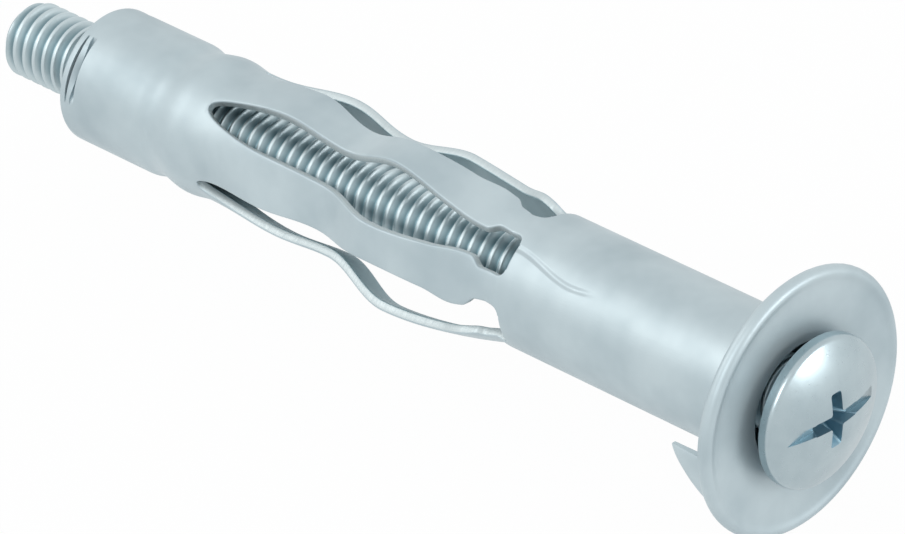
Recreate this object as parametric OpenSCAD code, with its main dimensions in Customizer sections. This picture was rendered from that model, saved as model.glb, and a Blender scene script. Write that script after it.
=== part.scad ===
// Hollow wall anchor: a slotted steel sleeve with a flange and two claws,
// a threaded nut crimped and staked into its rear collar, and a pan-head screw.
// The anchor lies along X with the screw head towards +X. The origin is the
// centre of the flange's back face, which bears on the wall.
// Stations are distances behind that face, so a station s lies at X = -s.
// The legs, the crimp and the stakes are placed from the sleeve's rear end,
// so a longer sleeve has more plain tube in front, as for a thicker wall.

/* [Sleeve tube] */
// Outside diameter of the tube and of the nut collar
tube_d = 10.4; // [10:0.1:12]
// Thickness of the sleeve's sheet steel
wall = 0.7; // [0.5:0.05:0.8]
// Length of the sleeve behind the flange
sleeve_len = 67.1; // [55:0.1:80]
// Radius on the outer edge of the sleeve's rear end
end_round = 0.3; // [0.1:0.05:0.6]

/* [Flange] */
// Diameter of the flange
flange_d = 20.2; // [17:0.1:26]
// Thickness of the flange
flange_t = 1.1; // [0.9:0.05:1.5]
// Radius of the fillet between the tube and the flange
neck_fillet = 0.6; // [0.3:0.1:1]
// Depth of the dish in the flange's face
dish_depth = 0.25; // [0.1:0.05:0.4]

/* [Claws] */
// Number of claws on the flange's rim
claw_count = 2; // [1:1:4]
// Reach of a claw behind the flange
claw_reach = 2.5; // [1.5:0.1:3.5]
// Width of a claw at its root
claw_root = 3.8; // [3:0.1:5]
// Thickness of a claw
claw_t = 0.7; // [0.5:0.05:0.9]
// Set-back of a claw's outer face from the edge of the flange
claw_inset = 0.3; // [0.2:0.05:0.8]
// Turn of the first claw's middle from the top, towards the left seen from the head
claw_angle = 97.5; // [80:0.5:120]

/* [Legs] */
// Number of legs, and of slots between them
leg_count = 5; // [4:1:6]
// Length of the sleeve from the front ends of the slots to its rear end
slot_front_back = 44.1; // [43.1:0.5:49.1]
// Length from where the legs spring from the tube to the sleeve's rear end
leg_spring_back = 42.8; // [42.5:0.1:43]
// Length from the knuckle, where a leg stands out furthest, to the rear end
knuckle_back = 32.2; // [31.1:0.1:33.1]
// Radius of a leg's outer face at the knuckle
knuckle_r = 6.75; // [6.4:0.05:7.4]
// Length from the waist, where the legs buckle, to the rear end
waist_back = 26.1; // [25.1:0.1:27.1]
// Radius of a leg's outer face at the waist
waist_r = 5.04; // [4.95:0.01:5.3]
// Length from the middle of the rear bow to the rear end
bow_back = 20.6; // [19.1:0.1:21.6]
// Radius of a leg's outer face at the rear bow
bow_r = 5.65; // [5.3:0.05:5.9]
// Length from the rear ends of the slots to the rear end
slot_rear_back = 13.7; // [13.1:0.1:15.1]

/* [Slots] */
// Half width of a slot at its narrow neck
neck_half = 1.15; // [0.8:0.05:1.4]
// Half width of a slot at the knuckle
knuckle_half = 2.4; // [2:0.05:2.8]
// Half width of a slot at the waist
waist_half = 1.5; // [1.1:0.05:1.7]
// Half width of a slot at the rear bow
bow_half = 1.68; // [1.2:0.04:1.92]
// Half width of the stress relief at a slot's front end
relief_half = 1.75; // [1.5:0.05:2.1]
// Length of the stress relief
relief_len = 2.8; // [2:0.1:3]
// Corner radius of the stress relief
relief_corner = 0.6; // [0.3:0.05:0.8]

/* [Crimp] */
// Length from the swelled ring in front of the crimp to the sleeve's rear end
swell_back = 11.5; // [11.1:0.1:11.9]
// Height of the swelled ring above the tube
swell_h = 0.13; // [0.05:0.01:0.2]
// Length from the crimped groove that holds the nut to the rear end
crimp_back = 8.9; // [8.5:0.1:9.3]
// Depth of the crimped groove
crimp_depth = 0.25; // [0.2:0.01:0.35]
// Half length of the crimped groove
crimp_half = 1.3; // [1:0.05:1.4]

/* [Stakes] */
// Number of stakes, strips of the collar pushed in flat behind the nut
stake_count = 3; // [2:1:6]
// Length from the front edge of the stakes to the sleeve's rear end
stake_back = 1.8; // [1.5:0.1:2.6]
// Length of a stake along the collar
stake_len = 1.2; // [0.8:0.1:1.3]
// Angle from a stake's middle to its end
stake_half_angle = 26; // [20:1:28]
// Turn of the first stake's middle from the top, towards the left seen from the head
stake_angle = 53.5; // [40:0.5:70]

/* [Captive nut] */
// Gap between the nut and the collar around it
nut_fit = 0.03; // [0.02:0.01:0.06]
// Gap between the nut's ends and what stops them
nut_end_gap = 0.05; // [0.03:0.01:0.1]
// Chamfer on the nut's outer edges
nut_chamfer = 0.4; // [0.2:0.1:0.7]
// Countersink at both ends of the nut's bore
nut_sink = 0.4; // [0.2:0.1:0.6]

/* [Screw] */
// Major diameter of the screw's thread
screw_d = 5.9; // [4.9:0.05:6]
// Length of the screw under its head
screw_len = 77.7; // [74:0.1:90]
// Radial gap between the screw and the nut's bore
thread_gap = 0.05; // [0.02:0.01:0.08]
// Length of the chamfer at the screw's tip
tip_chamfer = 0.6; // [0.4:0.1:1.2]
// Gap between the flange's face and the head above it
head_gap = 0.8; // [0.3:0.1:2]
// Diameter of the head
head_d = 11.5; // [10:0.1:12.5]
// Height of the head's straight edge
head_edge = 0.9; // [0.6:0.05:1.4]
// Height of the dome above the straight edge
dome_h = 1.4; // [1:0.05:2]
// Radius that breaks the head's upper edge
head_round = 0.3; // [0.1:0.05:0.45]

/* [Driver recess] */
// Turn of the driver slot from upright, towards the left seen from the head
recess_angle = 86; // [0:0.5:180]
// Width of the straight slot
drive_slot_w = 0.9; // [0.6:0.05:1.2]
// Depth of the straight slot below the top of the dome
drive_slot_depth = 0.8; // [0.5:0.05:1]
// Width of the cross recess's wings
wing_w = 1.05; // [0.8:0.05:1.3]
// Half span of the cross recess at the dome
cross_r = 2.3; // [1.8:0.05:2.6]
// Half span of the cross recess at its floor
cross_floor_r = 0.9; // [0.6:0.05:1.2]
// Depth of the cross recess
cross_depth = 2; // [1.5:0.1:2.2]

/* [Hidden] */
tube_r = tube_d / 2;
bore_r = tube_r - wall;
flange_r = flange_d / 2;
rim_r = flange_t / 2;
mouth_r = 0.5;
face_at = -flange_t;
screw_r = screw_d / 2;
head_r = head_d / 2;
slot_front = sleeve_len - slot_front_back;
leg_spring = sleeve_len - leg_spring_back;
knuckle_at = sleeve_len - knuckle_back;
waist_at = sleeve_len - waist_back;
bow_at = sleeve_len - bow_back;
slot_rear = sleeve_len - slot_rear_back;
swell_at = sleeve_len - swell_back;
crimp_at = sleeve_len - crimp_back;
stake_at = sleeve_len - stake_back;
crimp_end = crimp_at + crimp_half;
// Where a leg springs from the tube or the collar it is drawn in a little
root_r = tube_r - 0.12;
nut_r = bore_r - nut_fit;
nut_bore_r = screw_r + thread_gap;
nut_front = crimp_end + nut_end_gap;
nut_back = stake_at - nut_end_gap;
// A stake's outer face is the flat chord between its ends
stake_face = tube_r * cos(stake_half_angle);
// Its ends run into the collar, halfway between the collar's inner and outer face
stake_inner = sqrt(bore_r * bore_r - (stake_face - wall) * (stake_face - wall));
stake_half = (tube_r * sin(stake_half_angle) + stake_inner) / 2;
relief_end = slot_front + relief_len;
neck_at = relief_end + 0.3;
head_under = face_at - head_gap;
edge_top = head_under - head_edge;
head_top = edge_top - dome_h;
dome_r = (head_r * head_r + dome_h * dome_h) / (2 * dome_h);
screw_tip = head_under + screw_len;
// A power above one bows the legs and the slots outwards over the long front slope
leg_bow = 1.6;
slot_bow = 1.8;
// The sheet leaves the tube's line a little behind the slots' front edge
slot_lead = 0.2;
// A power above one makes a claw's sloping edge stand out
claw_bow = 1.4;
// How far a cutting shape runs past what it cuts
over = 1;
arc_steps = 4;
blend_steps = 5;
dome_steps = 8;
$fn = 96;

// Points of an arc about [x, y], from angle a0 to angle a1
function arc(x, y, r, a0, a1, steps = arc_steps) = [
    for (i = [0:steps])
        let (a = a0 + (a1 - a0) * i / steps)
        [x + r * cos(a), y + r * sin(a)]
];

// Points that ease from width wa at station a to width wb at station b, without the last
function eased(wa, a, wb, b) = [
    for (i = [0:blend_steps - 1])
        let (t = i / blend_steps)
        [wa + (wb - wa) * (1 - cos(180 * t)) / 2, a + (b - a) * t]
];

// Points that rise from width wa at station a to width wb at station b, fast at first, without the last
function bowed(wa, a, wb, b, power) = [
    for (i = [0:blend_steps - 1])
        let (t = 1 - i / blend_steps)
        [wb + (wa - wb) * pow(t, power), b + (a - b) * t]
];

function reversed(list) = [for (i = [len(list) - 1:-1:0]) list[i]];

// Outer line of the plain tube, the legs and the crimp, as [radius, station]
function outer_line() = concat(
    [[tube_r, neck_fillet], [tube_r, slot_front + slot_lead]],
    bowed(root_r, leg_spring, knuckle_r, knuckle_at, leg_bow),
    eased(knuckle_r, knuckle_at, waist_r, waist_at),
    eased(waist_r, waist_at, bow_r, bow_at),
    eased(bow_r, bow_at, root_r, slot_rear),
    eased(root_r, slot_rear, tube_r + swell_h, swell_at),
    eased(tube_r + swell_h, swell_at, tube_r - crimp_depth, crimp_at),
    eased(tube_r - crimp_depth, crimp_at, tube_r, crimp_end),
    [[tube_r, crimp_end], [tube_r, sleeve_len]]
);

function inner_line() = [for (p = outer_line()) [p[0] - wall, p[1]]];

// The outer line with its last corner rounded
function rounded_line() = concat(
    [for (i = [0:len(outer_line()) - 2]) outer_line()[i]],
    arc(tube_r - end_round, sleeve_len - end_round, end_round, 0, 90)
);

// Turns a shape drawn along +Z, away from the wall face, to lie along -X
module behind_flange() {
    rotate([0, -90, 0])
        children();
}

// Section of the sleeve: rolled flange rim, tube, legs, crimp and collar
module sleeve_section() {
    polygon(concat(
        arc(flange_r - rim_r, face_at + rim_r, rim_r, -90, 90),
        arc(tube_r + neck_fillet, neck_fillet, neck_fillet, 270, 180),
        rounded_line(),
        reversed(inner_line()),
        arc(bore_r + mouth_r, face_at + dish_depth + mouth_r, mouth_r, 180, 270)
    ));
}

// One side of a slot, as [half width, station], from the relief to the rear point
function slot_side() = concat(
    arc(relief_half - relief_corner, slot_front + relief_corner, relief_corner, -90, 0),
    arc(relief_half - relief_corner, relief_end - relief_corner, relief_corner, 0, 90),
    bowed(neck_half, neck_at, knuckle_half, knuckle_at, slot_bow),
    eased(knuckle_half, knuckle_at, waist_half, waist_at),
    eased(waist_half, waist_at, bow_half, bow_at),
    [for (i = [0:dome_steps - 1])
        let (a = 90 * i / dome_steps)
        [bow_half * cos(a), bow_at + (slot_rear - bow_at) * sin(a)]]
);

module slot_cut() {
    rotate([90, 0, 90])
        linear_extrude(height = knuckle_r + over)
            polygon(concat(
                slot_side(),
                [[0, slot_rear]],
                [for (p = reversed(slot_side())) [-p[0], p[1]]]
            ));
}

// A fang of rim metal bent back: one straight edge, one edge curved into the rim
module claw() {
    intersection() {
        rotate([90, 0, 90])
            linear_extrude(height = flange_r)
                polygon(concat(
                    [[claw_root / 2, -rim_r], [-claw_root / 2, -rim_r]],
                    [for (i = [0:blend_steps])
                        let (t = i / blend_steps)
                        [claw_root * (t - 0.5), claw_reach * (1 - pow(1 - t, claw_bow))]]
                ));
        translate([0, 0, -rim_r])
            difference() {
                cylinder(h = claw_reach + flange_t, r = flange_r - claw_inset);
                translate([0, 0, -over])
                    cylinder(h = claw_reach + flange_t + 2 * over, r = flange_r - claw_inset - claw_t);
            }
    }
}

// What a stake's shearing takes off the collar, down to the stake's flat face
module stake_cut() {
    translate([stake_face, -tube_r, stake_at])
        cube([tube_r, tube_d, stake_len]);
}

// A strip of the collar, sheared along both sides and pushed in flat
module stake() {
    translate([stake_face - wall, -stake_half, stake_at])
        cube([wall, 2 * stake_half, stake_len]);
}

module expansion_sleeve() {
    color("#bccad1")
        behind_flange() {
            difference() {
                rotate_extrude()
                    sleeve_section();
                for (i = [0:leg_count - 1])
                    rotate([0, 0, -360 * (i + 0.5) / leg_count])
                        slot_cut();
                for (i = [0:stake_count - 1])
                    rotate([0, 0, -stake_angle - 360 * i / stake_count])
                        stake_cut();
            }
            for (i = [0:stake_count - 1])
                rotate([0, 0, -stake_angle - 360 * i / stake_count])
                    stake();
            for (i = [0:claw_count - 1])
                rotate([0, 0, -claw_angle - 360 * i / claw_count])
                    claw();
        }
}

module captive_nut() {
    color("#a9b5bb")
        behind_flange()
            rotate_extrude()
                polygon(concat(
                    [[nut_bore_r, nut_front + nut_sink], [nut_bore_r + nut_sink, nut_front]],
                    [[nut_r - nut_chamfer, nut_front], [nut_r, nut_front + nut_chamfer]],
                    [[nut_r, nut_back - nut_chamfer], [nut_r - nut_chamfer, nut_back]],
                    [[nut_bore_r + nut_sink, nut_back], [nut_bore_r, nut_back - nut_sink]]
                ));
}

// Section of the screw: domed head with a straight edge, shank and chamfered tip
module screw_section() {
    polygon(concat(
        [[0, screw_tip], [0, head_top]],
        [for (i = [1:dome_steps])
            let (a = asin((head_r - head_round) / dome_r) * i / dome_steps)
            [dome_r * sin(a), head_top + dome_r * (1 - cos(a))]],
        [[head_r, edge_top + head_round], [head_r, head_under], [screw_r, head_under]],
        [[screw_r, screw_tip - tip_chamfer], [screw_r - tip_chamfer, screw_tip]]
    ));
}

// Straight slot that runs out on the dome, over a tapered cross
module driver_recess() {
    translate([-head_r, -drive_slot_w / 2, head_top - over])
        cube([head_d, drive_slot_w, drive_slot_depth + over]);
    intersection() {
        translate([0, 0, head_top])
            cylinder(h = cross_depth, r1 = cross_r, r2 = cross_floor_r);
        for (turn = [0, 90])
            rotate([0, 0, turn])
                translate([-head_r, -wing_w / 2, head_top - over])
                    cube([head_d, wing_w, cross_depth + over]);
    }
}

module machine_screw() {
    color("#c6d0d6")
        behind_flange()
            difference() {
                rotate_extrude()
                    screw_section();
                rotate([0, 0, -recess_angle])
                    driver_recess();
            }
}

expansion_sleeve();
captive_nut();
machine_screw();
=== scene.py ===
import math
import bmesh
import bpy
import numpy as np
from mathutils import Matrix


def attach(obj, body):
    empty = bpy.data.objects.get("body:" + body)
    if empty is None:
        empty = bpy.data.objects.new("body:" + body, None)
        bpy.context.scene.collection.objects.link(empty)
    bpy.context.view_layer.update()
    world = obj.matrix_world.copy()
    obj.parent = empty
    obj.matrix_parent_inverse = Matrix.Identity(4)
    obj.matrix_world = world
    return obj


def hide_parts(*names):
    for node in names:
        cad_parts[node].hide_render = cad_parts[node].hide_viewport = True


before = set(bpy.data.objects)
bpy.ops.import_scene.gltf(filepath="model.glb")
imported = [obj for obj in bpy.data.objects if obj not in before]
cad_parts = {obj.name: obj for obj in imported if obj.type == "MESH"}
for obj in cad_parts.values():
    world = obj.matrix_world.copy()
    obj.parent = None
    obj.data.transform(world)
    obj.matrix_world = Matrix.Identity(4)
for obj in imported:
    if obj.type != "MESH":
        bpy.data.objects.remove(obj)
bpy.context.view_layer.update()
mm = 0.001
print("frame loaded")

# Stations are millimetres behind the flange's back face, so a station s lies at x = -s.
# Turns are degrees about X, from +Y towards +Z.


def toLinear(hexColour):
    parts = [int(hexColour[i:i + 2], 16) / 255 for i in (1, 3, 5)]
    return [c / 12.92 if c <= 0.04045 else ((c + 0.055) / 1.055) ** 2.4 for c in parts] + [1.0]


# Adds a node. Its inputs are given values or are linked to sockets, and its settings are its own properties.
def addNode(tree, kind, inputs, **settings):
    node = tree.nodes.new(kind)
    for name, value in settings.items():
        setattr(node, name, value)
    for name, value in inputs.items():
        if isinstance(value, bpy.types.NodeSocket):
            tree.links.new(value, node.inputs[name])
        else:
            node.inputs[name].default_value = value
    return node


# A mesh object from points in millimetres and quads. Doubles are merged, faces that close up at a pole or
# a slot's end go, normals are turned outwards, and edges that turn by more than "crisp" degrees stay sharp.
def makePiece(name, points, faces, materialOf=None, crisp=35):
    mesh = bpy.data.meshes.new(name)
    mesh.from_pydata((points * mm).tolist(), [], faces.tolist())
    if materialOf is not None:
        mesh.polygons.foreach_set("material_index", materialOf.astype(np.int32))
    bm = bmesh.new()
    bm.from_mesh(mesh)
    bmesh.ops.remove_doubles(bm, verts=bm.verts, dist=3e-7)
    bmesh.ops.dissolve_degenerate(bm, edges=bm.edges, dist=1e-7)
    bmesh.ops.recalc_face_normals(bm, faces=bm.faces)
    bm.to_mesh(mesh)
    bm.free()
    mesh.shade_smooth()
    mesh.set_sharp_from_angle(angle=math.radians(crisp))
    piece = bpy.data.objects.new(name, mesh)
    bpy.context.scene.collection.objects.link(piece)
    return piece


# Quads between neighbouring rows and columns of a grid of vertex numbers
def gridQuads(ids):
    return np.stack([ids[:-1, :-1], ids[1:, :-1], ids[1:, 1:], ids[:-1, 1:]], -1).reshape(-1, 4)


# Vertex numbers of a grid of points
def numbered(grid):
    return np.arange(grid.shape[0] * grid.shape[1]).reshape(grid.shape[:2])


# Half a cosine wave from 0 to 1
def ease(t):
    return (1 - np.cos(np.pi * np.clip(t, 0, 1))) / 2


# Value at each station through knots of (station, value), joined by half cosine waves
def easedThrough(stations, knots):
    out = np.full(np.shape(stations), float(knots[0][1]))
    for (a, va), (b, vb) in zip(knots[:-1], knots[1:]):
        out = np.where(stations >= a, va + (vb - va) * ease((stations - a) / (b - a)), out)
    return out


# Value at each station on a cubic curve through the knots. Its slope at a knot is the harmonic mean of the
# slopes on both sides, and level at a turning point, so that it never swings past a knot.
def curveThrough(stations, at, values):
    at, values = np.asarray(at, float), np.asarray(values, float)
    slope = np.diff(values) / np.diff(at)
    product, total = slope[:-1] * slope[1:], slope[:-1] + slope[1:] + 1e-12
    bend = np.concatenate([[0], np.where(product > 0, 2 * product / total, 0), [0]])
    cell = np.clip(np.searchsorted(at, stations) - 1, 0, len(at) - 2)
    step = at[cell + 1] - at[cell]
    t = np.clip((stations - at[cell]) / step, 0, 1)
    return (values[cell] * (1 + 2 * t) * (1 - t) ** 2 + values[cell + 1] * t * t * (3 - 2 * t)
            + step * (bend[cell] * t * (1 - t) ** 2 - bend[cell + 1] * t * t * (1 - t)))


print("helpers ready")

sleeve = {
    "tube": 5.2, "wall": 0.7, "length": 67.1, "endRound": 0.22, "endInnerRound": 0.1,
    "flange": 10.1, "flangeThick": 1.1, "neckFillet": 0.6, "dish": 0.25, "mouth": 0.5,
    # the dished face near its rim: how far in from the rim, and how far below the rim's own face
    "faceRim": ((1.15, 0.16), (1.0, 0.13), (0.85, 0.09), (0.7, 0.035)),
    "slotFront": 23.0, "reliefEnd": 25.1, "neckFrom": 26.0, "reliefCorner": 0.65, "slotRear": 53.4,
    # stations of a slot's front, its relief, neck, front slope, knuckle, waist, rear bow and rear end
    "slotKnots": (23.0, 24.7, 26.5, 29.4, 34.9, 41.0, 46.4, 53.4),
    # in degrees: each slot's middle at all these stations, its half width in the relief and from neck to bow
    "slots": [
        {"middle": (129.1, 129.1, 130.0, 131.3, 129.4, 125.4, 123.6, 123.6),
         "relief": 18.2, "half": (10.9, 14.9, 20.5, 16.4, 16.8)},
        {"middle": (194.0, 194.0, 196.3, 197.3, 197.9, 197.8, 198.2, 198.2),
         "relief": 20.5, "half": (14.2, 20.5, 24.2, 16.8, 17.1)},
        {"middle": (270, 270, 270, 269, 267.5, 266.5, 266, 266),
         "relief": 21.5, "half": (13.0, 20.5, 26.5, 20.5, 22.0)},
        {"middle": (342, 342, 342, 342, 342, 342, 342, 342),
         "relief": 21.5, "half": (13.0, 19.5, 24.0, 17.0, 18.0)},
        {"middle": (417.7, 417.5, 420.5, 418.5, 419.2, 416.5, 411.0, 411.0),
         "relief": 28.0, "half": (22.0, 28.5, 28.7, 20.0, 16.6)},
    ],
    # the leg after each slot: radius of knuckle, waist and rear bow, the waist's station, how fast it rises
    "legs": [(6.75, 5.04, 5.65, 41.0, 1.75), (6.85, 5.07, 5.40, 41.0, 1.75), (6.75, 5.04, 5.65, 41.0, 1.75),
             (6.2, 5.04, 6.05, 40.0, 1.2), (6.75, 5.04, 5.65, 41.0, 1.75)],
    "legStart": 23.3, "root": 5.08, "rootAt": 24.3, "knuckleAt": 34.9, "bowAt": 46.5,
    "swellAt": 55.6, "swell": 0.13, "crimpAt": 58.2, "crimpDepth": 0.25, "crimpHalf": 1.3,
    # a stake: turns of the middles, half angle of the chord, sheared gap in front and behind, and its depth
    "stakeAt": 65.6, "stakeLength": 0.9, "stakes": (143.1, 263.1, 383.1), "stakeHalf": 26.0,
    "stakeTear": 0.42, "stakeRearTear": 0.13, "tearDepth": 0.4, "tearEnd": 29, "tearFade": 5,
    "stakeRise": 0.75, "riseOver": 0.35,      # share of its depth that a stake loses towards its rear edge
    "edgeRound": 0.13,      # burr-free edge of the sheared sheet
    "innerRound": 0.6,      # the same edge inside, as a share
    "flatness": 0.85,       # 0 keeps a leg's section round the screw, 1 makes it flat
    "flatFrom": 23.6, "flatOver": 4.0, "roundFrom": 43.5, "roundOver": 8.0,
    "legCells": 16, "slotCells": 8,
}


# Outer radius along a leg: the tube, then its root, a slope to the knuckle that rises fast and levels out
# as 1 less a power of the way left, and half cosine waves through waist, rear bow, root, swell and crimp
def legLift(stations, leg, c=sleeve):
    knuckle, waist, bow, waistAt, power = leg
    front = np.clip((stations - c["rootAt"]) / (c["knuckleAt"] - c["rootAt"]), 0, 1)
    rise = c["root"] + (knuckle - c["root"]) * (1 - (1 - front) ** power)
    sink = ease((stations - c["legStart"]) / (c["rootAt"] - c["legStart"]))
    start = c["tube"] + (c["root"] - c["tube"]) * sink
    rear = easedThrough(stations, [
        (c["knuckleAt"], knuckle), (waistAt, waist), (c["bowAt"], bow), (c["slotRear"], c["root"]),
        (c["swellAt"], c["tube"] + c["swell"]), (c["crimpAt"], c["tube"] - c["crimpDepth"]),
        (c["crimpAt"] + c["crimpHalf"], c["tube"])])
    return np.where(stations < c["rootAt"], start, np.where(stations < c["knuckleAt"], rise, rear))


# Half width of a slot in degrees: a relief with round corners, a curve through its neck, knuckle, waist and
# rear bow, and a quarter of an ellipse to its rear end
def slotHalf(stations, slot, c=sleeve):
    perDegree = math.radians(1) * c["tube"]
    corner = c["reliefCorner"] / perDegree
    bowAt = c["slotKnots"][-2]
    half = curveThrough(stations, c["slotKnots"][2:-1], slot["half"])
    tip = np.clip((stations - bowAt) / (c["slotRear"] - bowAt), 0, 1)
    half = np.where(stations > bowAt, slot["half"][-1] * np.sqrt(1 - tip ** 2), half)
    into = np.clip(1 - (stations - c["slotFront"]) / c["reliefCorner"], 0, 1)
    relief = slot["relief"] - corner + corner * np.sqrt(np.clip(1 - into ** 2, 0, 1))
    blend = ease((stations - c["reliefEnd"]) / (c["neckFrom"] - c["reliefEnd"]))
    return relief * (1 - blend) + half * blend


# Stations from the neck fillet to the collar's end, close together where the form turns
def sleeveStations(c=sleeve):
    front, back, bowAt, stake = c["slotFront"], c["slotRear"], c["slotKnots"][-2], c["stakeAt"]
    close = np.array([0.25, 0.6, 1.0]) * c["edgeRound"]
    tear, stakeEnd, crimpEnd = stake + c["stakeTear"], stake + c["stakeLength"], c["crimpAt"] + c["crimpHalf"]
    rows = [
        np.linspace(c["neckFillet"], front - 0.9, 22), [front - 0.5, front - 0.25, front], front - close,
        front + c["reliefCorner"] * (1 - np.cos(np.linspace(0, np.pi / 2, 6))),
        np.linspace(front + 0.9, c["reliefEnd"], 4), np.linspace(c["reliefEnd"], c["neckFrom"], 9),
        np.linspace(c["neckFrom"] + 0.2, bowAt, 66),
        bowAt + (back - bowAt) * np.sin(np.linspace(0, np.pi / 2, 24)),
        back + close, np.linspace(back + 0.25, crimpEnd, 22), np.linspace(crimpEnd + 0.4, stake - 0.3, 8),
        [stake - 0.09, stake - 0.01, stake + 0.01, tear - 0.01, tear + 0.01, tear + 0.13, tear + 0.28],
        [stakeEnd - 0.15, stakeEnd - 0.12, stakeEnd - 0.01, stakeEnd + 0.01, stakeEnd + 0.07],
        [c["length"] - c["endRound"]]]
    return np.unique(np.round(np.concatenate([np.asarray(r, float) for r in rows]), 4))


# Turns of each leg's two borders at every station, and the half width of the slot after it
def legBorders(s, c=sleeve):
    middles = np.array([curveThrough(s, c["slotKnots"], slot["middle"]) for slot in c["slots"]])
    halves = np.array([slotHalf(s, slot) for slot in c["slots"]])
    atFront = halves[:, np.argmin(abs(s - c["slotFront"]))][:, None]
    halves = np.where(s > c["slotRear"], 0, np.where(s < c["slotFront"], atFront, halves))
    upper = np.roll(middles - halves, -1, 0)
    upper[-1] += 360
    return middles + halves, upper, np.roll(halves, -1, 0)


# Columns of the sleeve's grid: those of each leg, then those of the slot after it. Gives each column's turn
# at every station, its distance in mm from the nearest sheared edge, its leg, and whether it crosses a slot.
def sleeveColumns(s, lift, inZone, c=sleeve):
    lower, upper, nextHalves = legBorders(s)
    centre, legHalf = (lower + upper) / 2, (upper - lower) / 2
    close = np.array([0, 0.25, 0.6, 1.0]) * c["edgeRound"]
    beyond = np.maximum(np.maximum(c["slotFront"] - s, s - c["slotRear"])[:, None], 0)
    span = np.linspace(-1, 1, c["slotCells"] + 1)[None, 1:-1]
    turns, near, owner, isSlot = [], [], [], []
    for leg in range(len(c["slots"])):
        halfMm = np.radians(legHalf[leg]) * lift[leg]
        fine = 1 - close[None, :] / halfMm[:, None]
        between = np.linspace(-1, 1, c["legCells"] + 1)[None, 1:-1] * fine[:, -1:]
        across = np.concatenate([-fine, between, fine[:, ::-1]], 1)
        gap = (1 - abs(across)) * halfMm[:, None]
        # true distance from either slot's outline, over all its stations
        distance = np.full(across.shape, 9.0)
        for side, border in ((-1, lower[leg]), (1, upper[leg])):
            edge = np.radians(border - centre[leg].mean()) * c["tube"] * side
            reach = np.hypot(s[:, None, None] - s[None, None, inZone],
                             edge[None, None, inZone] - edge[:, None, None] + gap[:, :, None])
            distance = np.where(np.sign(across) == side, reach.min(2), distance)
        nextHalf = nextHalves[leg]
        turns += [centre[leg][:, None] + across * legHalf[leg][:, None],
                  (upper[leg] + nextHalf)[:, None] + span * nextHalf[:, None]]
        near += [distance, beyond + 0 * span]
        owner += [leg] * (across.shape[1] + span.shape[1])
        isSlot += [False] * across.shape[1] + [True] * span.shape[1]
    turns, near = np.concatenate(turns, 1), np.concatenate(near, 1)
    return turns, near, centre[owner].T, np.array(owner), np.array(isSlot)


# Radius where a stake is the part of the collar beyond a chord, pushed in to it at its front edge and less
# behind, with a sheared gap in front of it and a thin one behind
def staked(r, s, columns, chord, gap, c=sleeve):
    front, end = c["stakeAt"] + c["stakeTear"], c["stakeAt"] + c["stakeLength"]
    within = (s > c["stakeAt"]) & (s < end)
    torn = within & ((s < front) | (s > end - c["stakeRearTear"]))
    behind = np.clip((s - c["stakeAt"] - c["stakeTear"]) / c["riseOver"], 0, 1)
    rise = np.where(torn, 0, c["stakeRise"] * behind)
    for middle in c["stakes"]:
        off = (columns - middle + 180) % 360 - 180
        fade = np.clip((c["tearEnd"] - abs(off)) / c["tearFade"], 0, 1)
        cut = (chord - np.where(torn, gap, 0)[:, None] * fade) / np.maximum(np.cos(np.radians(off)), 0.2)
        r = np.where(within[:, None] & (abs(off) < 60), r - (1 - rise[:, None]) * np.maximum(r - cut, 0), r)
    return r


# Points of an arc in [radius, station], turned from the first to the last angle
def arc(r, at, size, start, end, steps):
    a = np.radians(np.linspace(start, end, steps))
    return np.stack([r + size * np.cos(a), at + size * np.sin(a)], 1)


# Profiles of the sleeve's ends in [radius, station]: the rim and back face, the collar's end, the front face
def sleeveEnds(c=sleeve):
    rim, thick, tube, bore = c["flange"], c["flangeThick"], c["tube"], c["tube"] - c["wall"]
    half, fillet, mouth, small = thick / 2, c["neckFillet"], c["mouth"], c["endInnerRound"]
    back = np.concatenate([
        arc(rim - half, -half, half, -90, 90, 15),
        np.stack([np.linspace(rim - half, tube + fillet, 12)[1:-1], np.zeros(10)], 1),
        arc(tube + fillet, fillet, fillet, 270, 180, 8)[:-1]])
    tail = np.concatenate([
        arc(tube - c["endRound"], c["length"] - c["endRound"], c["endRound"], 0, 90, 6)[1:],
        arc(bore + small, c["length"] - small, small, 90, 180, 4)])
    (dishIn, dishLow), *rest = c["faceRim"]
    face = np.concatenate([
        arc(bore + mouth, -thick + c["dish"] + mouth, mouth, 180, 270, 9),
        np.stack([np.linspace(bore + mouth, rim - dishIn, 10)[1:],
                  np.linspace(-thick + c["dish"], -thick + dishLow, 10)[1:]], 1),
        [[rim - inward, -thick + low] for inward, low in rest]])
    return back, tail, face


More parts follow.
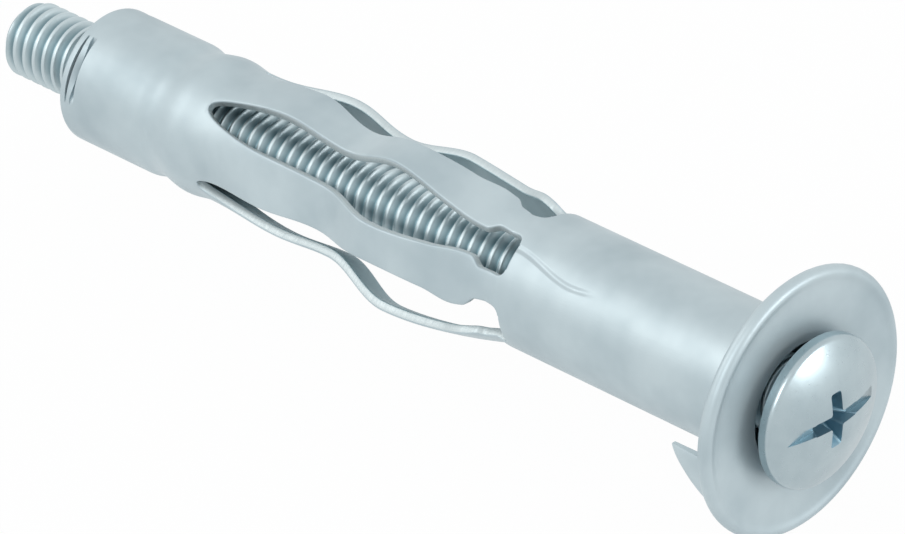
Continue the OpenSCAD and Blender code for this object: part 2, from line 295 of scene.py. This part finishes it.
# The sleeve is one closed grid. Its rows run from the rim over the back face, the tube, the legs and the
# collar, round the collar's end and back inside. Its columns are leg cells and slot cells, whose borders
# follow the slots. A point lies at its row's radius and its column's turn, and a leg's section is blended
# from round to flat.
def buildSleeve(c=sleeve):
    s = sleeveStations()
    inZone = (s >= c["slotFront"] - 1e-6) & (s <= c["slotRear"] + 1e-6)
    lift = np.array([legLift(s, leg) for leg in c["legs"]])
    columns, near, centre, owner, isSlot = sleeveColumns(s, lift, inZone)
    radius, angle, mid = lift[owner].T, np.radians(columns), np.radians(centre)
    # quarter round of the sheared edges
    drop = c["edgeRound"] * (1 - np.sqrt(1 - np.clip(1 - near / c["edgeRound"], 0, 1) ** 2))
    flatter = ease((s - c["flatFrom"]) / c["flatOver"])
    flat = c["flatness"] * flatter * (1 - ease((s - c["roundFrom"]) / c["roundOver"]))
    bend = np.where(isSlot[None, :], 0, flat[:, None])

    # points at a radius: the round section and the flat one, mixed by the bend
    def place(r):
        along = (angle - mid) * radius
        y = (1 - bend) * r * np.cos(angle) + bend * (r * np.cos(mid) - along * np.sin(mid))
        z = (1 - bend) * r * np.sin(angle) + bend * (r * np.sin(mid) + along * np.cos(mid))
        return np.stack([-np.repeat(s[:, None], columns.shape[1], 1), y, z], -1)

    # rows of revolution from a profile, at the turns of the first or last row
    def rings(profile, row):
        r, x = profile[:, :1], -np.repeat(profile[:, 1:], len(owner), 1)
        return np.stack([x, r * np.cos(angle[row])[None, :], r * np.sin(angle[row])[None, :]], -1)

    chord = c["tube"] * math.cos(math.radians(c["stakeHalf"]))
    outside = place(staked(radius, s, columns, chord, c["tearDepth"]) - drop)
    inside = place(staked(radius - c["wall"], s, columns, chord - c["wall"], 0) + c["innerRound"] * drop)
    back, tail, face = sleeveEnds()
    loop = np.concatenate([rings(back, 0), outside, rings(tail, -1), inside[::-1], rings(face, 0)])
    total, width = loop.shape[:2]
    rowsOut = len(back) + np.arange(len(s))
    rowsIn = len(back) + len(s) + len(tail) + len(s) - 1 - np.arange(len(s))      # the same stations, inside

    # the skin, less the slots' openings in the outer and the inner sheet
    ids = numbered(loop)
    wrapped = np.concatenate([ids, ids[:1]], 0)
    wrapped = np.concatenate([wrapped, wrapped[:, :1]], 1)
    slotCells = np.where(isSlot | np.roll(isSlot, -1))[0]
    zone = inZone[:-1] & inZone[1:]
    keep = np.ones((total, width), bool)
    keep[np.ix_(rowsOut[:-1][zone], slotCells)] = False
    keep[np.ix_(rowsIn[1:][zone], slotCells)] = False
    kept = keep.reshape(-1)
    skin = gridQuads(wrapped)[kept]
    rows = np.arange(total)
    hidden = np.repeat((rows >= rowsIn[-1]) & (rows < rowsIn[0]), width)[kept]

    # sheared walls from the outer to the inner sheet, along each leg's two edges and across each slot's front
    a, b, d, f = rowsOut[:-1][zone], rowsOut[1:][zone], rowsIn[:-1][zone], rowsIn[1:][zone]
    firsts, lasts = (np.where(~isSlot & np.roll(isSlot, way))[0] for way in (1, -1))
    walls = [np.stack([ids[a, k], ids[b, k], ids[f, k], ids[d, k]], 1) for k in (*firsts, *lasts)]
    row, nextCells = np.where(inZone)[0][0], (slotCells + 1) % width
    walls.append(np.stack([ids[rowsOut[row], slotCells], ids[rowsOut[row], nextCells],
                           ids[rowsIn[row], nextCells], ids[rowsIn[row], slotCells]], 1))
    return loop.reshape(-1, 3), skin, hidden, np.concatenate(walls)


sleevePoints, sleeveSkin, sleeveHidden, sleeveWalls = buildSleeve()
print("sleeve surface worked out:", len(sleevePoints), "points")

claw = {
    "turns": (187.5, 7.5), "outer": 9.8, "thick": 0.7, "root": 3.8, "reach": 2.5, "from": -0.7,
    "bow": 1.4,               # how full the curved edge is
    "thinner": (0.12, 0.05),  # what the outer and the inner face lose towards the point
    "edgeRound": 0.1, "cells": 18, "rows": 12,
}


# A claw is a slab round the rim, with one straight edge and one that curves down into the rim. Its height is
# the reach times 1 less a power of the way left along the root, and it gets thinner towards its point.
def buildClaw(turn, c=claw):
    t = np.linspace(0, 1, c["cells"])[:, None]
    v = np.linspace(0, 1, c["rows"])[None, :]
    across = c["root"] * (t - 0.5)
    top = c["reach"] * (1 - (1 - t) ** c["bow"])
    station = c["from"] + (top - c["from"]) * v
    nearTop = np.clip(1 - (top - station) / c["edgeRound"], 0, 1)
    nearSide = np.clip(1 - (c["root"] * (1 - t)) / c["edgeRound"], 0, 1)
    cut = c["edgeRound"] * (1 - np.sqrt(1 - np.maximum(nearTop, nearSide) ** 2))
    out = np.clip(station / c["reach"], 0, 1)
    outer = c["outer"] - cut - c["thinner"][0] * out
    inner = c["outer"] - c["thick"] + cut + c["thinner"][1] * out
    angle = np.radians(turn) - across / c["outer"] + 0 * v
    shells = [np.stack([-station, r * np.cos(angle), r * np.sin(angle)], -1) for r in (outer, inner)]
    ids = np.arange(2 * station.size).reshape(2, *station.shape)
    sides = [ids[:, 0], ids[:, -1], ids[:, :, 0], ids[:, :, -1]]
    faces = [gridQuads(ids[0]), gridQuads(ids[1])]
    faces += [np.stack([a[:-1], a[1:], b[1:], b[:-1]], 1) for a, b in sides]
    return np.concatenate([shell.reshape(-1, 3) for shell in shells]), np.concatenate(faces)


# material numbers: 0 bright sheet, 1 sheared edge with a painted highlight, 2 inside of the tube with painted
# shade
points, faces = [sleevePoints], [sleeveSkin, sleeveWalls]
kinds = [np.where(sleeveHidden, 2, 0), np.ones(len(sleeveWalls))]
base = len(sleevePoints)
for turn in claw["turns"]:
    clawPoints, clawFaces = buildClaw(turn)
    points.append(clawPoints)
    faces.append(clawFaces + base)
    kinds.append(np.zeros(len(clawFaces)))
    base += len(clawPoints)
sleeveMesh = [np.concatenate(part) for part in (points, faces, kinds)]
sleevePiece = makePiece("slotted_sleeve", *sleeveMesh)
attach(sleevePiece, "anchor")
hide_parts("expansion_sleeve")
print("sleeve made:", len(sleevePiece.data.polygons), "faces")

screw = {
    "radius": 2.95, "pitch": 1.0,
    "plain": 2.62,      # the plain shank under the head is as thin as the rolled blank
    # half the groove: distance from the crest's middle in pitches, and depth in mm
    "groove": ((0, 0), (0.08, 0), (0.13, 0.03), (0.17, 0.1), (0.4, 0.47), (0.45, 0.52), (0.5, 0.53)),
    # where a pitch of the profile has its points
    "samples": (-0.5, -0.46, -0.42, -0.35, -0.26, -0.18, -0.13, -0.08,
                0, 0.08, 0.13, 0.18, 0.26, 0.35, 0.42, 0.46),
    "start": -2.3, "threadFrom": -0.6, "runIn": 1.2, "tip": 75.8, "tipChamfer": 0.7, "around": 60,
}


# A right-hand thread: a row of the profile is carried round the axis and falls by one pitch a turn. Over one
# pitch the profile is a rounded crest, straight flanks at 60 degrees to each other and a rounded root.
def buildThread(c=screw):
    at, depth = np.array(c["groove"]).T
    u = np.array(c["samples"])
    turns = int(math.ceil((c["tip"] - c["start"]) / c["pitch"])) + 2
    v = np.linspace(0, 1, c["around"] + 1)
    row = (np.arange(turns)[:, None] + u[None, :]).reshape(-1)
    cut = np.tile(np.interp(abs(u), at, depth), turns)
    station = c["start"] + c["pitch"] * (row[:, None] - v[None, :])
    clipped = np.clip(station, c["start"], c["tip"])
    run = ease((clipped - c["threadFrom"]) / c["runIn"])
    radius = c["plain"] + (c["radius"] - cut[:, None] - c["plain"]) * run
    tipR = c["radius"] - c["tipChamfer"]
    radius = np.minimum(radius, tipR + (c["tip"] - clipped))
    radius = np.where(station > c["tip"], tipR, radius)
    angle = 2 * np.pi * v[None, :]
    body = np.stack([-clipped, radius * np.cos(angle), radius * np.sin(angle)], -1)
    caps = []
    for at, r, rings in ((c["start"], c["plain"], (0.5, 0.0)), (c["tip"], tipR, (0.97, 0.5, 0.0))):
        share = np.array(rings)[:, None]
        y, z = share * r * np.cos(angle), share * r * np.sin(angle)
        caps.append(np.stack([-at + 0 * y, y, z], -1))
    rows = np.concatenate([caps[0][::-1], body, caps[1]])
    return rows.reshape(-1, 3), gridQuads(numbered(rows))


threadPoints, threadFaces = buildThread()
threadPiece = makePiece("screw_thread", threadPoints, threadFaces, crisp=38)
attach(threadPiece, "screw")
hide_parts("machine_screw")
print("thread made:", len(threadPiece.data.polygons), "faces")

head = {
    "radius": 5.75, "under": -1.9, "edge": 0.9, "dome": 1.4, "around": 160, "domeRows": 34,
    "edgeRound": 0.32, "shoulder": 0.3, "underRound": 0.12, "underRings": (3.5, 1.5, 0.0),
    "recessTurn": 86.0, "slotWidth": 0.9, "slotDepth": 0.8, "slotReach": 7.0,
    "crossTop": 2.3, "crossFloor": 0.9, "crossDepth": 2.0,
    "wing": 1.05, "wingFloor": 0.8, "wingRound": 0.22, "wingRoot": 0.12,
    "crossLevels": (-1.0, 0.0, 0.6, 1.2, 1.7, 2.0),      # depths of the cross's outlines, from above the dome
    "recessLean": 0.93,      # cosine of the lean off the turned form past which a face is the recess's
}


# The head is a profile turned round the axis: a dome that is part of a ball, a shoulder that is a quadratic
# curve from the dome's slope to the straight edge, the edge, a small round and the flat underside
def buildHead(c=head):
    top = c["under"] - c["edge"] - c["dome"]
    ball = (c["radius"] ** 2 + c["dome"] ** 2) / (2 * c["dome"])
    stop = c["radius"] - c["edgeRound"]
    domeR = np.linspace(0, stop, c["domeRows"])
    domeS = top + ball - np.sqrt(ball ** 2 - domeR ** 2)
    slope = math.atan2(stop, math.sqrt(ball ** 2 - stop ** 2))
    t = np.linspace(0, 1, 8)[1:]
    startS = domeS[-1]
    cornerS = startS + math.tan(slope) * c["edgeRound"]
    endS = cornerS + c["shoulder"]
    shoulderR = (1 - t) ** 2 * stop + 2 * t * (1 - t) * c["radius"] + t ** 2 * c["radius"]
    shoulderS = (1 - t) ** 2 * startS + 2 * t * (1 - t) * cornerS + t ** 2 * endS
    a = np.radians(np.linspace(0, 90, 5))
    lowR = c["radius"] - c["underRound"] * (1 - np.cos(a))
    lowS = c["under"] - c["underRound"] * (1 - np.sin(a))
    flatR = np.array(c["underRings"])
    profile = np.stack([np.concatenate([domeR, shoulderR, lowR, flatR]),
                        np.concatenate([domeS, shoulderS, lowS, np.full(len(flatR), c["under"])])], 1)
    v = 2 * np.pi * np.linspace(0, 1, c["around"] + 1)
    r, x = profile[:, :1], -np.repeat(profile[:, 1:], len(v), 1)
    grid = np.stack([x, r * np.cos(v), r * np.sin(v)], -1)
    return grid.reshape(-1, 3), gridQuads(numbered(grid)), profile, top, ball


# A cutter is a stack of outlines in the recess's own turned axes, with its ends closed by fans
def makeCutter(name, outlines, stations, turn):
    a = math.radians(90 + turn)
    grid = []
    for outline, station in zip(outlines, stations):
        p, q = np.concatenate([outline, outline[:1]]).T
        y, z = p * math.cos(a) - q * math.sin(a), p * math.sin(a) + q * math.cos(a)
        grid.append(np.stack([np.full(len(p), -station), y, z], 1))
    ends = [np.repeat(grid[i].mean(0)[None, :], len(grid[i]), 0) for i in (0, -1)]
    grid = np.array([ends[0], *grid, ends[1]])
    return makePiece(name, grid.reshape(-1, 3), gridQuads(numbered(grid)))


def boxOutline(x, y):
    return np.array([[x, y], [-x, y], [-x, -y], [x, -y]])


# Outline of a cross with rounded wing ends and a small bevel between its wings: one wing, turned four times
def crossOutline(reach, half, rounding, root):
    a = np.radians(np.linspace(0, 90, 5))
    corner = np.stack([reach - rounding + rounding * np.cos(a), half - rounding + rounding * np.sin(a)], 1)
    wing = np.concatenate([corner[::-1] * (1, -1), corner, [[half + root, half], [half, half + root]]])
    quarters = np.radians([0, 90, 180, 270])
    turns = [np.array([[math.cos(k), -math.sin(k)], [math.sin(k), math.cos(k)]]) for k in quarters]
    return np.concatenate([wing @ turn.T for turn in turns])


# Both cutters of the recess: a straight slot across the dome, and a cross that tapers towards its floor
def recessCutters(top, c=head):
    box = boxOutline(c["slotReach"], c["slotWidth"] / 2)
    slot = makeCutter("slotCutter", [box, box], [top - 1, top + c["slotDepth"]], c["recessTurn"])
    levels = np.array(c["crossLevels"])
    deep = np.clip(levels / c["crossDepth"], 0, 1)
    reaches = c["crossTop"] + (c["crossFloor"] - c["crossTop"]) * deep
    halves = (c["wing"] + (c["wingFloor"] - c["wing"]) * deep) / 2
    outlines = [crossOutline(reach, half, c["wingRound"], c["wingRoot"])
                for reach, half in zip(reaches, halves)]
    return slot, makeCutter("crossCutter", outlines, top + levels, c["recessTurn"])


# Normals of the turned faces come from the profile itself, so that the recess's edges leave the dome's gloss
# undisturbed. On the dome they are the ball's own, elsewhere they stand at right angles to the profile at its
# nearest point. A face that leans off them keeps its own normal and takes the recess's material, and so does
# the flat underside.
def smoothTurnedNormals(mesh, profile, ball, c=head):
    def read(items, name, each, kind):
        out = np.empty(len(items) * each, kind)
        items.foreach_get(name, out)
        return out

    loops = read(mesh.polygons, "loop_total", 1, np.int32)
    flat = np.repeat(read(mesh.polygons, "normal", 3, float).reshape(-1, 3), loops, 0)
    places = read(mesh.vertices, "co", 3, float).reshape(-1, 3) / mm
    p = places[read(mesh.loops, "vertex_index", 1, np.int32)]
    r, s = np.hypot(p[:, 1], p[:, 2]), -p[:, 0]
    tangent = np.gradient(profile, axis=0)
    nearest = np.hypot(r[:, None] - profile[None, :, 0], s[:, None] - profile[None, :, 1]).argmin(1)
    tr, ts = tangent[nearest].T
    size = np.hypot(tr, ts) + 1e-12
    onDome = r < profile[c["domeRows"] - 1, 0] + 1e-6
    nr = np.where(onDome, r / ball, ts / size)
    ns = np.where(onDome, -np.sqrt(1 - (r / ball) ** 2), -tr / size)
    safe = np.maximum(r, 1e-9)
    smooth = np.stack([-ns, nr * p[:, 1] / safe, nr * p[:, 2] / safe], 1)
    agree = (smooth * flat).sum(1) > c["recessLean"]
    normal = np.where(agree[:, None], smooth, flat)
    start = np.concatenate([[0], np.cumsum(loops)[:-1]])
    mesh.polygons.foreach_set("material_index", (~np.logical_and.reduceat(agree, start)).astype(np.int32))
    mesh.shade_smooth()
    mesh.normals_split_custom_set(normal.tolist())


headPoints, headFaces, headProfile, headTop, headBall = buildHead()
headPiece = makePiece("screw_head", headPoints, headFaces, crisp=50)
cutters = recessCutters(headTop)
for cutter in cutters:
    modifier = headPiece.modifiers.new("recess", "BOOLEAN")
    modifier.operation, modifier.solver, modifier.object = "DIFFERENCE", "EXACT", cutter
bpy.context.view_layer.update()
finished = bpy.data.meshes.new_from_object(headPiece.evaluated_get(bpy.context.evaluated_depsgraph_get()))
headPiece.modifiers.clear()
headPiece.data = finished
for cutter in cutters:
    bpy.data.objects.remove(cutter)
smoothTurnedNormals(headPiece.data, headProfile, headBall)
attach(headPiece, "screw")
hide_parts("machine_screw")
print("head made:", len(headPiece.data.polygons), "faces")

# Bright zinc plate on cold-rolled sheet: satin, bluish in the light, with clouds a few millimetres wide,
# fine grain and faint marks of drawing along the tube
sheetSteel = {
    "name": "bright zinc-plated sheet steel", "colour": "#BBC9CE", "deep": "#ABBAC0",
    "roughness": 0.46, "roughSpread": (-0.05, 0.06), "metal": 0.6, "reliefMm": 0.006, "relief": 0.5,
    "grainMm": 0.12, "drawMm": 0.08, "drawStretch": 0.06, "cloudMm": 6,
}
# The same plate inside the tube: a little duller, and its colour darker as painted shade for the shade that
# falls inside the tube
insideShadedSteel = {
    **sheetSteel, "name": "dull plate inside the tube with painted shade", "colour": "#AFC4CA", "deep": "#9AB1B8",
    "roughness": 0.5,
}
# The same plate where a press sheared the blank, with striations through the sheet 0.1 mm apart; its colour
# is painted brighter than the sheet's, a painted highlight for the light that the edges catch
shearedHighlitSteel = {
    "name": "sheared edge of the sheet with painted highlight", "colour": "#C8D2D4", "deep": "#C3CED1",
    "roughness": 0.5, "roughSpread": (0, 0.1), "metal": 1, "reliefMm": 0.006, "relief": 0.4,
    "striationMm": 0.1, "striationStretch": 0.15,
}
# Rolled thread, zinc-plated: smooth and glossy on the crests, with painted shade that darkens the roots,
# where shade falls between the flanks. The flat end inside the roots is as bright as the crests.
threadSteel = {
    "name": "bright zinc-plated thread", "colour": "#C2D0D4", "deep": "#86A0A8",
    "roughness": 0.42, "roughSpread": (-0.03, 0.05), "metal": 1, "reliefMm": 0.004, "relief": 0.4,
    "grainMm": 0.3, "rootRadius": 2.42, "crestRadius": 2.8, "endRadius": 2.22, "rootFrom": 2.3,
}
# The nut is turned and plated, bright on its faces, with painted shade darker towards its bore
nutSteel = {**threadSteel, "name": "bright zinc-plated nut", "rootRadius": 2.9, "crestRadius": 3.3}
# Cold-headed and barrel-plated: the head is the glossiest face, with soft clouds from the tumbling
headSteel = {
    "name": "bright zinc-plated screw head", "colour": "#B4C3C8", "deep": "#A6B6BC",
    "roughness": 0.3, "roughSpread": (-0.03, 0.03), "metal": 1, "reliefMm": 0.004, "relief": 0.35,
    "grainMm": 0.3, "cloudMm": 2.5,
}
# Blue passivate pools in the recess as the plate dries, which leaves its walls bluer and duller
recessSteel = {
    **headSteel, "name": "blue passivate pooled in the recess", "colour": "#9CBAC8", "deep": "#83A3B1",
    "roughness": 0.45,
}


def startMaterial(name):
    material = bpy.data.materials.new(name)
    material.use_nodes = True
    tree = material.node_tree
    tree.nodes.clear()
    return material, tree, addNode(tree, "ShaderNodeTexCoord", {}).outputs["Object"]


# Ends a material: a metal whose colour goes from "colour" to "deep" with the shade, and which is roughened
# and bumped by its own patterns. A second bump may lie under the first.
def finishMetal(tree, c, shade, rough, height, under=None):
    low, high = c["roughSpread"]
    colour = addNode(tree, "ShaderNodeMix", {
        0: shade, 6: toLinear(c["colour"]), 7: toLinear(c["deep"])}, data_type="RGBA")
    gloss = addNode(tree, "ShaderNodeMapRange", {
        "Value": rough, "From Min": 0.3, "From Max": 0.7,
        "To Min": c["roughness"] + low, "To Max": c["roughness"] + high})
    bump = addNode(tree, "ShaderNodeBump", {
        "Height": height, "Strength": c["relief"], "Distance": c["reliefMm"] * mm})
    if under is not None:
        tree.links.new(under, bump.inputs["Normal"])
    shader = addNode(tree, "ShaderNodeBsdfPrincipled", {
        "Base Color": colour.outputs[2], "Roughness": gloss.outputs["Result"],
        "Metallic": c["metal"], "Normal": bump.outputs["Normal"]})
    addNode(tree, "ShaderNodeOutputMaterial", {"Surface": shader.outputs["BSDF"]})


# Where the rolled blank's two edges meet, a shallow crease runs from the first slot along the tube
seam = {
    "from": -22.9, "bend": -17.3, "end": -14.6, "turns": (121.5, 132.1, 129.4),
    "beginFrom": -23.5, "beginTo": -23.3, "fadeFrom": -16.6, "widthMm": 0.7, "depthMm": 0.09,
}


# Depth of the crease: 1 on its line of turn against station, which is two smooth steps, and 0 at half its
# width away
def seamDepth(tree, place, c=seam):
    axes = addNode(tree, "ShaderNodeSeparateXYZ", {"Vector": place}).outputs
    first, second, third = [math.radians(turn) for turn in c["turns"]]
    parts = []
    for low, high, fromValue, toValue in (
            (c["from"], c["bend"], first, second), (c["bend"], c["end"], 0, third - second),
            (c["fadeFrom"], c["end"], 1, 0), (c["beginFrom"], c["beginTo"], 0, 1)):
        step = addNode(tree, "ShaderNodeMapRange", {
            "Value": axes["X"], "From Min": low * mm, "From Max": high * mm,
            "To Min": fromValue, "To Max": toValue}, interpolation_type="SMOOTHSTEP")
        parts.append(step.outputs["Result"])
    out, back, fade, begin = parts
    turn = addNode(tree, "ShaderNodeMath", {0: axes["Z"], 1: axes["Y"]}, operation="ARCTAN2")
    line = addNode(tree, "ShaderNodeMath", {0: out, 1: back})
    off = addNode(tree, "ShaderNodeMath", {0: turn.outputs[0], 1: line.outputs[0]}, operation="SUBTRACT")
    away = addNode(tree, "ShaderNodeMath", {0: off.outputs[0]}, operation="ABSOLUTE")
    ridge = addNode(tree, "ShaderNodeMapRange", {
        "Value": away.outputs[0], "From Min": 0, "From Max": c["widthMm"] / 2 / sleeve["tube"],
        "To Min": 1, "To Max": 0}, interpolation_type="SMOOTHSTEP")
    faded = addNode(tree, "ShaderNodeMath", {0: ridge.outputs["Result"], 1: fade}, operation="MULTIPLY")
    return addNode(tree, "ShaderNodeMath", {0: faded.outputs[0], 1: begin}, operation="MULTIPLY").outputs[0]


def makeSheet(c, creased=False):
    material, tree, place = startMaterial(c["name"])
    # drawn out along the tube
    drawn = addNode(tree, "ShaderNodeMapping", {"Vector": place, "Scale": (c["drawStretch"], 1, 1)})
    lines = addNode(tree, "ShaderNodeTexNoise", {
        "Vector": drawn.outputs["Vector"], "Scale": 1 / (c["drawMm"] * mm), "Detail": 2})
    grain = addNode(tree, "ShaderNodeTexNoise", {
        "Vector": place, "Scale": 1 / (c["grainMm"] * mm), "Detail": 3})
    cloud = addNode(tree, "ShaderNodeTexNoise", {
        "Vector": place, "Scale": 1 / (c["cloudMm"] * mm), "Detail": 3, "Roughness": 0.55}).outputs["Fac"]
    shade = addNode(tree, "ShaderNodeMapRange", {"Value": cloud, "From Min": 0.35, "From Max": 0.7})
    height = addNode(tree, "ShaderNodeMath", {0: lines.outputs["Fac"], 1: grain.outputs["Fac"]})
    crease = None
    if creased:
        crease = addNode(tree, "ShaderNodeBump", {
            "Height": seamDepth(tree, place), "Strength": 1, "Distance": seam["depthMm"] * mm}, invert=True)
        crease = crease.outputs["Normal"]
    finishMetal(tree, c, shade.outputs["Result"], cloud, height.outputs[0], crease)
    return material


# The striations run through the sheet's thickness, so they change quickly along the edge
def makeSheared(c=shearedHighlitSteel):
    material, tree, place = startMaterial(c["name"])
    stretch = c["striationStretch"]
    across = addNode(tree, "ShaderNodeMapping", {"Vector": place, "Scale": (1, stretch, stretch)})
    lines = addNode(tree, "ShaderNodeTexNoise", {
        "Vector": across.outputs["Vector"], "Scale": 1 / (c["striationMm"] * mm), "Detail": 2}).outputs["Fac"]
    shade = addNode(tree, "ShaderNodeMapRange", {"Value": lines, "From Min": 0.3, "From Max": 0.7})
    finishMetal(tree, c, shade.outputs["Result"], lines, lines)
    return material


# Painted shade goes by the distance from the axis: dark at the root, where shade falls, and bright at the
# crest and on the flat end
def makeThreaded(c):
    material, tree, place = startMaterial(c["name"])
    axes = addNode(tree, "ShaderNodeSeparateXYZ", {"Vector": place}).outputs
    across = addNode(tree, "ShaderNodeCombineXYZ", {"Y": axes["Y"], "Z": axes["Z"]})
    radius = addNode(tree, "ShaderNodeVectorMath", {0: across.outputs["Vector"]}, operation="LENGTH")
    radius = radius.outputs["Value"]
    grain = addNode(tree, "ShaderNodeTexNoise", {
        "Vector": place, "Scale": 1 / (c["grainMm"] * mm), "Detail": 3}).outputs["Fac"]
    # painted shade, darkest in the roots of the thread
    groove = addNode(tree, "ShaderNodeMapRange", {
        "Value": radius, "From Min": c["rootRadius"] * mm, "From Max": c["crestRadius"] * mm,
        "To Min": 1, "To Max": 0})
    end = addNode(tree, "ShaderNodeMapRange", {
        "Value": radius, "From Min": c["endRadius"] * mm, "From Max": c["rootFrom"] * mm})
    shade = addNode(tree, "ShaderNodeMath", {
        0: groove.outputs["Result"], 1: end.outputs["Result"]}, operation="MULTIPLY")
    finishMetal(tree, c, shade.outputs[0], grain, grain)
    return material


def makeHeaded(c):
    material, tree, place = startMaterial(c["name"])
    grain = addNode(tree, "ShaderNodeTexNoise", {
        "Vector": place, "Scale": 1 / (c["grainMm"] * mm), "Detail": 3}).outputs["Fac"]
    cloud = addNode(tree, "ShaderNodeTexNoise", {
        "Vector": place, "Scale": 1 / (c["cloudMm"] * mm), "Detail": 2}).outputs["Fac"]
    shade = addNode(tree, "ShaderNodeMapRange", {"Value": cloud, "From Min": 0.3, "From Max": 0.75})
    finishMetal(tree, c, shade.outputs["Result"], grain, grain)
    return material


for material in (makeSheet(sheetSteel, creased=True), makeSheared(), makeSheet(insideShadedSteel)):
    sleevePiece.data.materials.append(material)
threadPiece.data.materials.append(makeThreaded(threadSteel))
for material in (makeHeaded(headSteel), makeHeaded(recessSteel)):
    headPiece.data.materials.append(material)
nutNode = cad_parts["captive_nut"]
nutNode.data.materials.clear()
nutNode.data.materials.append(makeThreaded(nutSteel))
print("materials made")

view = {
    "camera": (306.668, -326.023, 320.382),      # millimetres
    "toCamera": (0.55713528, -0.59229869, 0.58205030), "right": (0.75016993, 0.65958243, -0.04686249),
    "focalPixels": 8000.0, "originPixel": (792.60, 398.55), "size": (905, 534), "sensorMm": 36.0,
}


# The camera looks along the ray through the middle of its view, so that it needs no lens shift
def placeCamera(v=view):
    width, height = v["size"]
    back = np.array(v["toCamera"]) / np.linalg.norm(v["toCamera"])
    right = np.array(v["right"]) - back * np.dot(v["right"], back)
    right /= np.linalg.norm(right)
    across = (width / 2 - v["originPixel"][0]) / v["focalPixels"]
    down = (height / 2 - v["originPixel"][1]) / v["focalPixels"]
    aim = across * right - down * np.cross(back, right) - back
    aim /= np.linalg.norm(aim)
    right = right - aim * np.dot(right, aim)
    right /= np.linalg.norm(right)
    data = bpy.data.cameras.new("camera")
    data.sensor_width = v["sensorMm"]
    data.lens = v["sensorMm"] * v["focalPixels"] / width / np.linalg.norm(np.array([across, down, 1.0]))
    data.clip_start, data.clip_end = 0.01, 20
    camera = bpy.data.objects.new("camera", data)
    bpy.context.scene.collection.objects.link(camera)
    matrix = np.eye(4)
    matrix[:3] = np.stack([right, np.cross(right, aim), -aim, np.array(v["camera"]) * mm], 1)
    camera.matrix_world = Matrix(matrix.tolist())
    bpy.context.scene.camera = camera


placeCamera()
print("camera placed")

studio = {
    "aim": (-0.035, 0, 0),
    "lamps": [
        # name, azimuth, elevation, distance m, size m, watts, colour
        ("key", -48, 38, 0.55, 0.34, 0.62, "#FFFBF8"),
        ("side", 114, 11, 0.6, 0.2, 0.75, "#FFFFFF"),
        ("front", 28, 40, 0.7, 0.3, 1.1, "#FFFFFF"),
    ],
    "world": 0.82, "worldColour": "#F6F8F8", "background": "#FFFFFF",
    "floorColour": "#E4E7E9", "floorShow": 0.97, "floorSize": 3.0, "floorBelow": 10.11,
}


# A square soft lamp that faces the object's middle
def addLamp(name, azimuth, elevation, distance, size, watts, hexColour, c=studio):
    a, e = math.radians(azimuth), math.radians(elevation)
    back = np.array([math.sin(a) * math.cos(e), -math.cos(a) * math.cos(e), math.sin(e)])
    data = bpy.data.lights.new(name, "AREA")
    data.shape, data.size, data.energy = "SQUARE", size, watts
    data.color = toLinear(hexColour)[:3]
    lamp = bpy.data.objects.new(name, data)
    bpy.context.scene.collection.objects.link(lamp)
    side = np.cross([0, 0, 1.0], back)
    side /= np.linalg.norm(side)
    matrix = np.eye(4)
    matrix[:3] = np.stack([side, np.cross(back, side), back, np.array(c["aim"]) + distance * back], 1)
    lamp.matrix_world = Matrix(matrix.tolist())


for lamp in studio["lamps"]:
    addLamp(*lamp)


# 1 where a ray from the camera, a mirror or a clear body meets the background, which is then plain white,
# and 0 where light is gathered, so that the white lights nothing
def backgroundSeen(tree):
    seen = addNode(tree, "ShaderNodeLightPath", {}).outputs
    mirrored = addNode(tree, "ShaderNodeMath", {
        0: seen["Is Camera Ray"], 1: seen["Is Glossy Ray"]}, operation="MAXIMUM")
    return addNode(tree, "ShaderNodeMath", {0: mirrored.outputs[0], 1: seen["Is Transmission Ray"]},
                   operation="MAXIMUM").outputs[0]


def makeWorld(c=studio):
    world = bpy.data.worlds.new("studio")
    world.use_nodes = True
    bpy.context.scene.world = world
    tree = world.node_tree
    tree.nodes.clear()
    plain = addNode(tree, "ShaderNodeBackground", {
        "Color": toLinear(c["worldColour"]), "Strength": c["world"]})
    white = addNode(tree, "ShaderNodeBackground", {"Color": toLinear(c["background"]), "Strength": 1})
    pick = addNode(tree, "ShaderNodeMixShader", {
        0: backgroundSeen(tree), 1: plain.outputs[0], 2: white.outputs[0]})
    addNode(tree, "ShaderNodeOutputWorld", {"Surface": pick.outputs[0]})


# A matt painted table top: pale with no gloss, shown nearly white while it keeps the object's shadow
def makeFloor(c=studio):
    x, z = c["floorSize"] / 2, -c["floorBelow"] * mm
    mesh = bpy.data.meshes.new("floor")
    mesh.from_pydata([(-x, -x, z), (x, -x, z), (x, x, z), (-x, x, z)], [], [(0, 1, 2, 3)])
    floor = bpy.data.objects.new("floor", mesh)
    bpy.context.scene.collection.objects.link(floor)
    material, tree, place = startMaterial("matt white table top")
    shown = addNode(tree, "ShaderNodeMath", {
        0: backgroundSeen(tree), 1: c["floorShow"]}, operation="MULTIPLY")
    matt = addNode(tree, "ShaderNodeBsdfDiffuse", {"Color": toLinear(c["floorColour"])})
    white = addNode(tree, "ShaderNodeEmission", {"Color": toLinear(c["background"]), "Strength": 1})
    pick = addNode(tree, "ShaderNodeMixShader", {
        0: shown.outputs[0], 1: matt.outputs[0], 2: white.outputs[0]})
    addNode(tree, "ShaderNodeOutputMaterial", {"Surface": pick.outputs[0]})
    mesh.materials.append(material)


makeWorld()
makeFloor()
bpy.context.scene.view_settings.view_transform = "Standard"
print("studio set")
